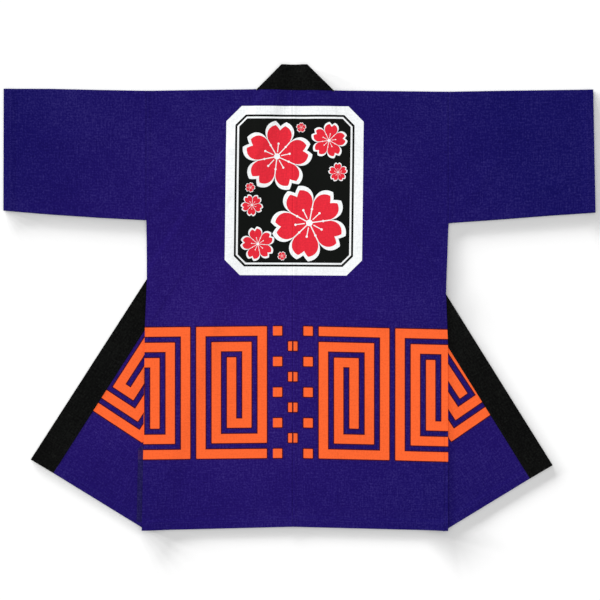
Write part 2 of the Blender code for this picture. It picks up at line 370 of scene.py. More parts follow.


# %% [markdown]
# ## Creases
# Pressed cotton still keeps a few soft creases: pulls that fan out from the armpits, long low
# ridges along the sleeves, and the faint folds it was stored in. They could be simulated, but
# a simulation would loosen the pressed edges, so each crease is listed one by one. Its rise is
# added to every layer below it as well, because stacked cloth creases together, and then no
# layer can push through its neighbour. The seams rise in the same way over their allowances,
# with a narrow groove where the two cloths meet.

# %% The main creases in millimetres: from (x, y) to (x, y), how wide and how high
CREASES = [
    ((-302, 150), (-214, 246), 20, 1.1),
    ((-296, 138), (-196, 176), 16, 0.8),
    ((-291, 118), (-268, -50), 15, 0.8),
    ((292, 146), (203, 252), 22, 1.0),
    ((286, 130), (206, 158), 14, 0.7),
    ((281, 102), (262, -86), 17, 0.9),
    ((-322, 176), (-402, 262), 18, 0.9),
    ((-338, 318), (-520, 300), 22, 0.8),
    ((-440, 214), (-556, 238), 16, 0.7),
    ((316, 178), (392, 276), 19, 0.9),
    ((352, 330), (548, 322), 24, 0.8),
    ((436, 206), (530, 226), 15, 0.6),
    ((-170, 30), (-162, -310), 13, 0.6),
    ((142, 14), (150, -268), 14, 0.6),
    ((-262, -20), (-70, -34), 18, 0.5),
    ((50, -22), (246, -30), 20, 0.6),
    ((-252, -346), (-236, -440), 16, 0.8),
    ((-86, -340), (-98, -442), 15, 0.6),
    ((66, -352), (74, -441), 17, 0.7),
    ((228, -338), (242, -446), 16, 0.8),
    ((-344, -180), (-402, -352), 16, 0.7),
    ((-318, -330), (-352, -424), 14, 0.6),
    ((330, -196), (384, -360), 17, 0.7),
    ((316, -322), (346, -428), 14, 0.6),
]
CREASE_FADE = 0.25
print(len(CREASES), "creases placed by hand")

# %% Seams that lie over their own allowances: from (x, y) to (x, y), in metres
ALLOWANCE_WIDTH = 0.0090
ALLOWANCE_RISE = 0.0007
GROOVE_WIDTH = 0.0014
GROOVE_DEPTH = 0.0007
SEAM_STEPS = (0.0004, 0.0009, 0.0014, 0.0050, 0.0070, 0.0090)
ROLLED_SIDE_SEAM = ((0.2814, -0.2600), (0.2814, -0.4485))
SEAMS = [ROLLED_SIDE_SEAM, ((CENTRE_SEAM_X, NECK_Y), (CENTRE_SEAM_X, NECK_Y - HEM_DOWN_CENTRE))]
for half in halves:
    seam_x = CENTRE_SEAM_X + half.sign * half.row["armhole_out"]
    SEAMS.append(((seam_x, NECK_Y), (seam_x, NECK_Y - half.row["armpit_down"])))
print(len(SEAMS), "seams raised: the centre, both armholes, and the right side, rolled inward")


# %% How far a place on the cloth is lifted
def distance_along(place, start, end):
    """How far a place is from a stretch, and how far along the stretch it is, 0 to 1."""
    start = Vector(start)
    stretch = Vector(end) - start
    along = (place - start).dot(stretch) / stretch.length_squared
    nearest = start + stretch * min(max(along, 0.0), 1.0)
    return (place - nearest).length, along


def crease_rise(place, start, end, width, rise):
    away, along = distance_along(place, start, end)
    if away > width:
        return 0.0
    fade = smooth(along / CREASE_FADE) * smooth((1 - along) / CREASE_FADE)
    return rise * smooth(1 - away / width) * fade


def seam_rise(place, start, end):
    away, _ = distance_along(place, start, end)
    if away > ALLOWANCE_WIDTH:
        return 0.0
    # Level over the inner half of the allowances, then down over the outer half
    rise = ALLOWANCE_RISE * smooth(2 - 2 * away / ALLOWANCE_WIDTH)
    return rise - GROOVE_DEPTH * smooth(1 - away / GROOVE_WIDTH)


def lifted(point):
    in_millimetres = point.xy / MM
    rise = MM * sum(crease_rise(in_millimetres, *crease) for crease in CREASES)
    rise += sum(seam_rise(point.xy, *seam) for seam in SEAMS)
    return point + Vector((0, 0, rise))


# %% [markdown]
# ## Cutting the cloth
# A length of cloth is a grid of small squares. The pattern's outline is scored into it, and
# what lies outside is cut away, as with scissors. The folds and the runs where a layer
# settles are scored too, so that the mesh has edges exactly where the cloth turns.

# %% An outline's sides, its extent and its area
def sides_of(outline):
    return zip(outline, outline[1:] + outline[:1])


def extent_of(outline):
    outs, downs = zip(*outline)
    return max(outs) - min(outs), max(downs) - min(downs)


def area_of(outline):
    return abs(sum(a[0] * b[1] - b[0] * a[1] for a, b in sides_of(outline))) / 2


# %% A length of cloth: a flat grid that covers an outline
CELL = 0.0055


def length_of_cloth(name, outline):
    size = Vector(extent_of(outline)) + Vector((CELL, CELL))
    middle = Vector([(min(line) + max(line)) / 2 for line in zip(*outline)])
    bpy.ops.object.select_all(action="DESELECT")
    bpy.ops.mesh.primitive_grid_add(
        x_subdivisions=ceil(size.x / CELL),
        y_subdivisions=ceil(size.y / CELL),
        size=1,
        location=(middle.x, middle.y, 0),
    )
    cloth = bpy.context.object
    cloth.name = name
    cloth.data.name = name
    cloth.scale = (size.x, size.y, 1)
    bpy.ops.object.transform_apply(location=True, rotation=True, scale=True)
    return cloth


# %% Scoring: cuts the faces near a line, on the part of the cloth that the line belongs to
REACH = 2 * CELL
ON_LINE = 1e-7


def score(mesh, line, on_piece):
    faces = []
    for face in mesh.faces:
        middle = face.calc_center_bounds().xy
        if abs(line.beyond(middle)) < REACH and on_piece(middle):
            faces.append(face)
    edges = {edge for face in faces for edge in face.edges}
    corners = {vert for face in faces for vert in face.verts}
    bmesh.ops.bisect_plane(
        mesh,
        geom=faces + list(edges) + list(corners),
        dist=ON_LINE,
        plane_co=(line.start.x, line.start.y, 0),
        plane_no=(line.out.x, line.out.y, 0),
    )


# %% Cutting along the outline
def inside(point, outline):
    """True if a line to the right of the point crosses the outline an odd number of times."""
    crossings = 0
    for a, b in sides_of(outline):
        if (a[1] > point[1]) != (b[1] > point[1]):
            share = (point[1] - a[1]) / (b[1] - a[1])
            crossings += point[0] < a[0] + share * (b[0] - a[0])
    return crossings % 2 == 1


def cut_out(name, outline):
    """The cut cloth, and its mesh, still open for the folding."""
    cloth = length_of_cloth(name, outline)
    mesh = bmesh.new()
    mesh.from_mesh(cloth.data)
    for a, b in sides_of(outline):
        side = Line(a, b, (Vector(b) - Vector(a)).orthogonal())
        score(mesh, side, lambda middle: distance_along(middle, a, b)[0] < REACH)
    waste = [face for face in mesh.faces if not inside(face.calc_center_median(), outline)]
    bmesh.ops.delete(mesh, geom=waste, context="FACES")
    return cloth, mesh


# %% Laying the cut cloth over its folds, with its flat places kept as a UV map
HEM_GROUP = 0


def hem_lines(hem):
    return drape_lines(hem, -HEM_DEPTH - HEM_STEP, HEM_STEP)


def fold_and_lay(mesh, half, upper, thickness, flat_place, hemmed):
    neck_side = Line((upper.from_out, 0), (upper.from_out, 1), (1, 0))
    score(mesh, neck_side, lambda point: True)
    for line in upper.score_lines():
        score(mesh, line, upper.folds)
    lines = [(half.back_lines(), half.front_lines())]
    if hemmed:
        lines.append((hem_lines(half.back_hem), hem_lines(half.front_hem)))
    for on_back, on_front in lines:
        for line in on_back:
            score(mesh, line, lambda point: upper.part(point) == 0)
        for line in on_front:
            score(mesh, upper.flat_line(line), lambda point: upper.part(point) == 1)
    bmesh.ops.remove_doubles(mesh, verts=mesh.verts[:], dist=MERGE)
    flat_map = mesh.loops.layers.uv.new("flat")
    for face in mesh.faces:
        for loop in face.loops:
            loop[flat_map].uv = flat_place(loop.vert.co.xy)
    groups = mesh.verts.layers.deform.verify()
    for vert in mesh.verts:
        flat = vert.co.xy
        extra = half.hem_rise_at(upper, flat) if hemmed else 0.0
        vert[groups][HEM_GROUP] = extra / HEM_RISE
        vert.co = lifted(lay(half, upper, thickness + extra, flat))
    if half.sign > 0:
        bmesh.ops.reverse_faces(mesh, faces=mesh.faces[:])


# %% How far a corner of the mesh lies in a hem, from 0 to 1
HEM_TURNED = 0.99
SMOOTH_BELOW = radians(50)


def hem_share(piece, corner):
    shares = [entry.weight for entry in piece.data.vertices[corner].groups]
    return shares[HEM_GROUP] if shares else 0.0


# %% Giving the cloth its thickness behind the right side, and more of it in the hems
def finish_cloth(piece, thickness, materials):
    """
    The right side is modelled. The wrong side gets the second material, except in a hem, which
    is turned up and so shows the right side of the cloth on the inside too.
    """
    bpy.ops.object.select_all(action="DESELECT")
    piece.select_set(True)
    bpy.context.view_layer.objects.active = piece
    piece.data.materials.clear()
    for material in materials:
        piece.data.materials.append(material)
    wall = piece.modifiers.new("Wall", "SOLIDIFY")
    wall.thickness = thickness + HEM_RISE
    wall.thickness_vertex_group = thickness / (thickness + HEM_RISE)
    wall.vertex_group = piece.vertex_groups.new(name="hem").name
    wall.offset = -1
    wall.use_even_offset = True
    wall.use_quality_normals = True
    wall.material_offset = 1
    bpy.ops.object.modifier_apply(modifier=wall.name)
    for face in piece.data.polygons:
        if min(hem_share(piece, corner) for corner in face.vertices) > HEM_TURNED:
            face.material_index = 0
    bpy.ops.object.shade_smooth_by_angle(angle=SMOOTH_BELOW)
    size = piece.dimensions / MM
    faces = len(piece.data.polygons)
    print(f"{piece.name}: {size.x:.0f} x {size.y:.0f} x {size.z:.1f} mm, {faces} faces")


# %% [markdown]
# ## Colour
# The finishes are made before the pieces, so that each piece is dressed as it is made. One
# function turns an sRGB hex value into the linear numbers that the shader needs, and one adds
# a node with its settings and links. The Mix node is the one to watch: its inputs share their
# names, so they go by number, 0 for the factor and 6 and 7 for the two colours.


# %% Small helpers
def linear(hex_colour):
    """The linear colour of an sRGB hex value."""
    parts = [int(hex_colour[i : i + 2], 16) / 255 for i in (1, 3, 5)]
    return [p / 12.92 if p <= 0.04045 else ((p + 0.055) / 1.055) ** 2.4 for p in parts] + [1.0]


def feed(node, sockets):
    """'sockets' holds what each input gets: another node's output, or a value."""
    for socket, source in dict(sockets).items():
        if isinstance(source, bpy.types.NodeSocket):
            node.id_data.links.new(source, node.inputs[socket])
        else:
            node.inputs[socket].default_value = source


def add(tree, kind, sockets=(), **settings):
    """Adds a node with its settings, and feeds its inputs."""
    node = tree.nodes.new(kind)
    for name, value in settings.items():
        setattr(node, name, value)
    feed(node, sockets)
    return node


# %% [markdown]
# ## The weave
# Happi cotton is a plain weave of about 20 threads to the centimetre, dyed and printed with
# pigment. A real thread is half a millimetre wide, far under a pixel here, so the threads are
# drawn three millimetres apart, just coarse enough to show. Real yarn is uneven, and it is
# the slubs, long thin streaks along both threads, that make it look woven rather than
# speckled. A slow noise stands for uneven dye.

# %% The weave as a node group: from the flat place to a height and two kinds of unevenness
THREAD_SPACING = 3.0 * MM
SLUB_WIDTH = 1.8 * MM
SLUB_LENGTH = 26 * MM
FLECK_SIZE = 3.4 * MM
TIDE_SIZE = 180 * MM


def make_weave():
    group = bpy.data.node_groups.new("plain weave", "ShaderNodeTree")
    group.interface.new_socket("Place", in_out="INPUT", socket_type="NodeSocketVector")
    group.interface.new_socket("Height", in_out="OUTPUT", socket_type="NodeSocketFloat")
    group.interface.new_socket("Uneven", in_out="OUTPUT", socket_type="NodeSocketFloat")
    place = add(group, "NodeGroupInput").outputs["Place"]
    result = add(group, "NodeGroupOutput")
    number = "ShaderNodeMath"

    turns = 2 * pi / THREAD_SPACING
    scaled = add(group, "ShaderNodeVectorMath", {0: place, 3: turns}, operation="SCALE")
    axes = add(group, "ShaderNodeSeparateXYZ", {0: scaled.outputs[0]})
    warp = add(group, number, {0: axes.outputs["X"]}, operation="SINE").outputs[0]
    weft = add(group, number, {0: axes.outputs["Y"]}, operation="SINE").outputs[0]
    threads = add(group, number, {0: warp, 1: weft}, operation="MULTIPLY").outputs[0]

    streaks = []
    for stretch in ((SLUB_WIDTH, SLUB_LENGTH), (SLUB_LENGTH, SLUB_WIDTH)):
        scale = (1 / stretch[0], 1 / stretch[1], 1)
        mapped = add(group, "ShaderNodeMapping", {"Vector": place, "Scale": scale})
        noise = {"Vector": mapped.outputs[0], "Scale": 1.0, "Detail": 1.5}
        streaks.append(add(group, "ShaderNodeTexNoise", noise).outputs["Fac"])
    slubs = add(group, number, {0: streaks[0], 1: streaks[1]}, operation="ADD").outputs[0]
    slubs = add(group, number, {0: slubs, 1: 1.0}, operation="SUBTRACT").outputs[0]
    height = {0: threads, 1: 0.35, 2: slubs}
    height = add(group, number, height, operation="MULTIPLY_ADD").outputs[0]
    group.links.new(height, result.inputs["Height"])

    uneven = add(group, number, {0: slubs, 1: 0.5}, operation="MULTIPLY").outputs[0]
    for size, detail, share in ((FLECK_SIZE, 1.0, 0.9), (TIDE_SIZE, 3.0, 0.4)):
        noise = {"Vector": place, "Scale": 1 / size, "Detail": detail}
        noise = add(group, "ShaderNodeTexNoise", noise).outputs["Fac"]
        noise = add(group, number, {0: noise, 1: 0.5}, operation="SUBTRACT").outputs[0]
        noise = {0: noise, 1: share, 2: uneven}
        uneven = add(group, number, noise, operation="MULTIPLY_ADD").outputs[0]
    group.links.new(uneven, result.inputs["Uneven"])
    return group


weave = make_weave()
print("weave drawn", THREAD_SPACING / MM, "mm apart")

# %% A woven cotton: takes a colour, adds its unevenness, and gives the shader its surface
DYE_VARIES = 0.4
WEAVE_RELIEF = {"Distance": 0.25 * MM, "Strength": 0.5}
COTTON_SURFACE = {
    "Roughness": 0.85,
    "Specular IOR Level": 0.04,
    "Sheen Weight": 0.015,
    "Sheen Roughness": 0.6,
}


def finish_cotton(tree, colour, place):
    """Wires a cotton surface. 'colour' is a socket."""
    threads = add(tree, "ShaderNodeGroup", {"Place": place}, node_tree=weave)
    value = {0: threads.outputs["Uneven"], 1: DYE_VARIES, 2: 1.0}
    value = add(tree, "ShaderNodeMath", value, operation="MULTIPLY_ADD").outputs[0]
    dyed = {"Color": colour, "Value": value}
    dyed = add(tree, "ShaderNodeHueSaturation", dyed).outputs["Color"]
    relief = {"Height": threads.outputs["Height"], **WEAVE_RELIEF}
    bump = add(tree, "ShaderNodeBump", relief).outputs["Normal"]
    shader = tree.nodes["Principled BSDF"]
    feed(shader, {"Base Color": dyed, "Normal": bump, **COTTON_SURFACE})


def new_material(name):
    material = bpy.data.materials.new(name)
    material.use_nodes = True
    place = add(material.node_tree, "ShaderNodeUVMap", {}, uv_map="flat").outputs["UV"]
    return material, material.node_tree, place


# %% [markdown]
# ## The dye, with a painted pool of light
# The indigo isn't one flat colour. A pool of light is painted into it: the middle of the back
# is paler and leans to violet, and the cloth turns bluer and deeper towards the sleeves and the
# shoulders, the painted falloff of that light. A distance on the flat cloth, measured from the
# middle of the pool, mixes the two. Indigo only coats a yarn and leaves its core pale, so
# where a thread is thick or rubbed a little grey fibre shows, which the unevenness of the
# weave mixes in. The wrong side is duller.

# %% The indigo, lit and shaded by painted light, and where one turns into the other, as (out, down)
LIT_VIOLET_INDIGO = "#2B1170"
SHADED_BLUE_INDIGO = "#110B5B"
LIT_VIOLET_WRONG = "#1E1654"
SHADED_BLUE_WRONG = "#18134E"
INDIGO_FIBRE = linear("#78708C")
BLACK_FIBRE = linear("#6E746C")
BARE_MEAN = 0.010
INDIGO_BARES = 0.20
BLACK_BARES = 0.08
LIGHT_POOL_MIDDLE = (-0.08, 0.48, 0)
LIGHT_POOL_SHAPE = (1.0, 0.84, 1.0)
LIGHT_POOL_ENDS = 0.61
LIGHT_POOL_POWER = 0.62


def dyed_yarn(tree, place, dye, fibre, bares):
    """The dye with its unevenness. 'bares' is how much fibre shows where the yarn is thick."""
    threads = add(tree, "ShaderNodeGroup", {"Place": place}, node_tree=weave)
    uneven = threads.outputs["Uneven"]
    bare = {0: uneven, 1: bares, 2: BARE_MEAN}
    bare = add(tree, "ShaderNodeMath", bare, operation="MULTIPLY_ADD", use_clamp=True)
    yarn = {0: bare.outputs[0], 6: dye, 7: fibre}
    yarn = add(tree, "ShaderNodeMix", yarn, data_type="RGBA").outputs[2]
    value = {0: uneven, 1: DYE_VARIES, 2: 1.0}
    value = add(tree, "ShaderNodeMath", value, operation="MULTIPLY_ADD").outputs[0]
    return add(tree, "ShaderNodeHueSaturation", {"Color": yarn, "Value": value}).outputs["Color"]


def indigo_dye_with_painted_light(tree, place, lit_violet, shaded_blue):
    # Painted light: paler and more violet at the pool's middle, deeper and bluer away from it
    moved = {0: place, 1: LIGHT_POOL_MIDDLE}
    moved = add(tree, "ShaderNodeVectorMath", moved, operation="SUBTRACT").outputs[0]
    shaped = {0: moved, 1: LIGHT_POOL_SHAPE}
    shaped = add(tree, "ShaderNodeVectorMath", shaped, operation="MULTIPLY").outputs[0]
    far = add(tree, "ShaderNodeVectorMath", {0: shaped}, operation="LENGTH").outputs["Value"]
    painted_light_falloff = add(tree, "ShaderNodeMath", {0: far, 1: LIGHT_POOL_ENDS}, operation="DIVIDE").outputs[0]
    painted_light_falloff = {0: painted_light_falloff, 1: LIGHT_POOL_POWER}
    painted_light_falloff = add(tree, "ShaderNodeMath", painted_light_falloff, operation="POWER").outputs[0]
    dye = {0: painted_light_falloff, 6: linear(lit_violet), 7: linear(shaded_blue)}
    dye = add(tree, "ShaderNodeMix", dye, data_type="RGBA").outputs[2]

    return dyed_yarn(tree, place, dye, INDIGO_FIBRE, INDIGO_BARES)


def indigo_cotton(name, lit_violet, shaded_blue):
    material, tree, place = new_material(name)
    finish_cotton(tree, indigo_dye_with_painted_light(tree, place, lit_violet, shaded_blue), place)
    return material


sleeve_cotton = indigo_cotton("indigo_dyed_cotton", LIT_VIOLET_INDIGO, SHADED_BLUE_INDIGO)
sleeve_reverse = indigo_cotton("indigo_dyed_cotton_wrong_side", LIT_VIOLET_WRONG, SHADED_BLUE_WRONG)


# %% The collar's black cotton
def black_cotton(name, hex_colour):
    material, tree, place = new_material(name)
    colour = add(tree, "ShaderNodeRGB").outputs[0]
    colour.default_value = linear(hex_colour)
    colour = dyed_yarn(tree, place, colour, BLACK_FIBRE, BLACK_BARES)
    finish_cotton(tree, colour, place)
    return material


collar_cotton = black_cotton("black_dyed_cotton", "#040404")
collar_reverse = black_cotton("black_dyed_cotton_wrong_side", "#181817")

# %% [markdown]
# ## The printed band
# Round the lower body runs a broad orange band of squared bars. Its design here is a common
# thunder-scroll fret: square spirals, and a chequer of small blocks between them. It is
# charted on a lattice of nine rows, each bar a rounded rectangle that covers some
# columns and rows. The lattice comes from the band's real height, so the bars and gaps have
# the width of the real ones. A group node draws one bar, and the chart places it many times.

# %% The lattice of the band
FRET_TOP = 0.4560
FRET_HEIGHT = 0.2541
ROWS = 9
BAR = 0.0176
PITCH = (FRET_HEIGHT - BAR) / (ROWS - 1)
CORNER = 0.0012
BLEED = 0.0022
DRAWN_BLEED = 0.5
print(f"bars {BAR / MM:.1f} mm wide, gaps {(PITCH - BAR) / MM:.1f} mm")

# %% The chart: (first column, first row, columns wide, rows tall)
SPIRAL_COLUMNS = 5
SPIRAL = [
    (0, 0, 5, 1),
    (4, 0, 1, 9),
    (0, 8, 5, 1),
    (0, 1, 1, 8),
    (0, 1, 4, 1),
    (3, 1, 1, 7),
    (1, 7, 3, 1),
    (1, 2, 1, 6),
    (1, 2, 2, 1),
    (2, 2, 1, 5),
]
turned_spiral = [
    (SPIRAL_COLUMNS - c - wide, ROWS - r - tall, wide, tall) for c, r, wide, tall in SPIRAL
]
CHEQUER_COLUMNS = 3
chequer = [(c, r, 1, 1) for r in range(ROWS) for c in range(CHEQUER_COLUMNS) if (c + r) % 2 == 0]


def shifted(bars, columns):
    return [(c + columns, r, wide, tall) for c, r, wide, tall in bars]


REPEAT = 2 * SPIRAL_COLUMNS + CHEQUER_COLUMNS
chart = chequer
chart = chart + shifted(SPIRAL, CHEQUER_COLUMNS)
chart = chart + shifted(turned_spiral, CHEQUER_COLUMNS + SPIRAL_COLUMNS)
print(len(chart), "bars in a repeat of", round(REPEAT * PITCH / MM), "mm")


# %% One rounded bar
def make_bar():
    """A group that is 1 inside a rounded rectangle, a half where its ink bleeds, and else 0."""
    group = bpy.data.node_groups.new("printed bar", "ShaderNodeTree")
    for name in ("Place", "Middle", "Half size"):
        group.interface.new_socket(name, in_out="INPUT", socket_type="NodeSocketVector")
    group.interface.new_socket("Drawn before", in_out="INPUT", socket_type="NodeSocketFloat")
    group.interface.new_socket("Drawn", in_out="OUTPUT", socket_type="NodeSocketFloat")
    given = add(group, "NodeGroupInput").outputs
    result = add(group, "NodeGroupOutput")
    kind = "ShaderNodeVectorMath"
    from_middle = {0: given["Place"], 1: given["Middle"]}
    from_middle = add(group, kind, from_middle, operation="SUBTRACT").outputs[0]
    folded = add(group, kind, {0: from_middle}, operation="ABSOLUTE").outputs[0]
    past = {0: folded, 1: given["Half size"]}
    past = add(group, kind, past, operation="SUBTRACT").outputs[0]
    past = add(group, kind, {0: past, 1: (CORNER, CORNER, -1)}, operation="ADD").outputs[0]
    past = add(group, kind, {0: past, 1: (0, 0, 0)}, operation="MAXIMUM").outputs[0]
    far = add(group, kind, {0: past}, operation="LENGTH").outputs["Value"]
    within = add(group, "ShaderNodeMath", {0: far, 1: CORNER}, operation="LESS_THAN").outputs[0]
    bled = {0: far, 1: CORNER + BLEED}
    bled = add(group, "ShaderNodeMath", bled, operation="LESS_THAN").outputs[0]
    bled = {0: bled, 1: DRAWN_BLEED}
    bled = add(group, "ShaderNodeMath", bled, operation="MULTIPLY").outputs[0]
    drawn = {0: within, 1: bled}
    drawn = add(group, "ShaderNodeMath", drawn, operation="MAXIMUM").outputs[0]
    drawn = {0: drawn, 1: given["Drawn before"]}
    drawn = add(group, "ShaderNodeMath", drawn, operation="MAXIMUM").outputs[0]
    group.links.new(drawn, result.inputs["Drawn"])
    return group


bar_group = make_bar()


# %% The whole fret, repeated across the cloth
def make_fret():
    group = bpy.data.node_groups.new("thunder scroll fret", "ShaderNodeTree")
    group.interface.new_socket("Place", in_out="INPUT", socket_type="NodeSocketVector")
    group.interface.new_socket("Drawn", in_out="OUTPUT", socket_type="NodeSocketFloat")
    place = add(group, "NodeGroupInput").outputs["Place"]
    result = add(group, "NodeGroupOutput")
    width = REPEAT * PITCH
    first_column = -(CHEQUER_COLUMNS * PITCH - (PITCH - BAR)) / 2
    origin = (first_column, FRET_TOP, 0)
    moved = add(group, "ShaderNodeVectorMath", {0: place, 1: origin}, operation="SUBTRACT")
    axes = add(group, "ShaderNodeSeparateXYZ", {0: moved.outputs[0]}).outputs
    across = {0: axes["X"], 1: width, 2: 0.0}
    across = add(group, "ShaderNodeMath", across, operation="WRAP").outputs[0]
    cell = add(group, "ShaderNodeCombineXYZ", {"X": across, "Y": axes["Y"]}).outputs[0]
    drawn = 0.0
    for c, r, wide, tall in chart:
        size = Vector(((wide - 1) * PITCH + BAR, (tall - 1) * PITCH + BAR, 0)) / 2
        middle = Vector((c * PITCH, r * PITCH, 0)) + size
        sockets = {"Place": cell, "Middle": middle, "Half size": size, "Drawn before": drawn}
        bar = add(group, "ShaderNodeGroup", {}, node_tree=bar_group)
        for name, value in sockets.items():
            if isinstance(value, bpy.types.NodeSocket):
                group.links.new(value, bar.inputs[name])
            else:
                bar.inputs[name].default_value = value
        drawn = bar.outputs["Drawn"]
    group.links.new(drawn, result.inputs["Drawn"])
    return group


fret = make_fret()

# %% [markdown]
# ## The back panel
# In the middle of the back a white eight-sided label is printed, with a thin black line and a
# black field. The field carries scattered cherry blossoms, red with a thick white outline.
# An eight-sided shape is a rectangle whose corners are cut: a place is inside it while it is
# inside the rectangle and inside the diamond that cuts the corners. A blossom is easiest in
# polar form: its edge is a radius that depends on the angle, the same for all five petals.

# %% The panel: its middle, and (half width, half height, cut corner) of each nested shape
PANEL_OUT = 0.0027
PANEL_DOWN = 0.1944
PANEL_TURN = radians(0.7)
PANEL_LEVEL = 0.029
LABEL = (0.1325, 0.1633, 0.0295)
LINE_OUTER = (0.1151, 0.1466, 0.0200)
LINE_INNER = (0.1111, 0.1426, 0.0182)
FIELD = (0.1076, 0.1391, 0.0155)


# %% An eight-sided shape as a node group
def make_octagon():
    group = bpy.data.node_groups.new("eight sided label", "ShaderNodeTree")
    group.interface.new_socket("Place", in_out="INPUT", socket_type="NodeSocketVector")
    for name in ("Half width", "Half height", "Cut corner"):
        group.interface.new_socket(name, in_out="INPUT", socket_type="NodeSocketFloat")
    group.interface.new_socket("Inside", in_out="OUTPUT", socket_type="NodeSocketFloat")
    given = add(group, "NodeGroupInput").outputs
    result = add(group, "NodeGroupOutput")
    kind = "ShaderNodeMath"
    vector = add(group, "ShaderNodeVectorMath", {0: given["Place"]}, operation="ABSOLUTE")
    axes = add(group, "ShaderNodeSeparateXYZ", {0: vector.outputs[0]}).outputs
    in_width = {0: axes["X"], 1: given["Half width"]}
    in_width = add(group, kind, in_width, operation="LESS_THAN").outputs[0]
    in_height = {0: axes["Y"], 1: given["Half height"]}
    in_height = add(group, kind, in_height, operation="LESS_THAN").outputs[0]
    slant = add(group, kind, {0: axes["X"], 1: axes["Y"]}, operation="ADD").outputs[0]
    most = {0: given["Half width"], 1: given["Half height"]}
    most = add(group, kind, most, operation="ADD").outputs[0]
    most = {0: most, 1: given["Cut corner"]}
    most = add(group, kind, most, operation="SUBTRACT").outputs[0]
    in_slant = add(group, kind, {0: slant, 1: most}, operation="LESS_THAN").outputs[0]
    inside_all = add(group, kind, {0: in_width, 1: in_height}, operation="MULTIPLY").outputs[0]
    inside_all = {0: inside_all, 1: in_slant}
    inside_all = add(group, kind, inside_all, operation="MULTIPLY").outputs[0]
    group.links.new(inside_all, result.inputs["Inside"])
    return group


octagon = make_octagon()

# %% The blossom's shape, as shares of its radius
PETALS = 5
CLEFT = 0.50
NOTCH = 0.15
NOTCH_WIDTH = 0.24
OUTLINE = 0.115
PETAL_LINE = 0.014
HEART = 0.085
STAMENS = 10
STAMEN_FROM = 0.12
STAMEN_TO = 0.36
STAMEN_WIDTH = 0.012
ANTHER = 0.030


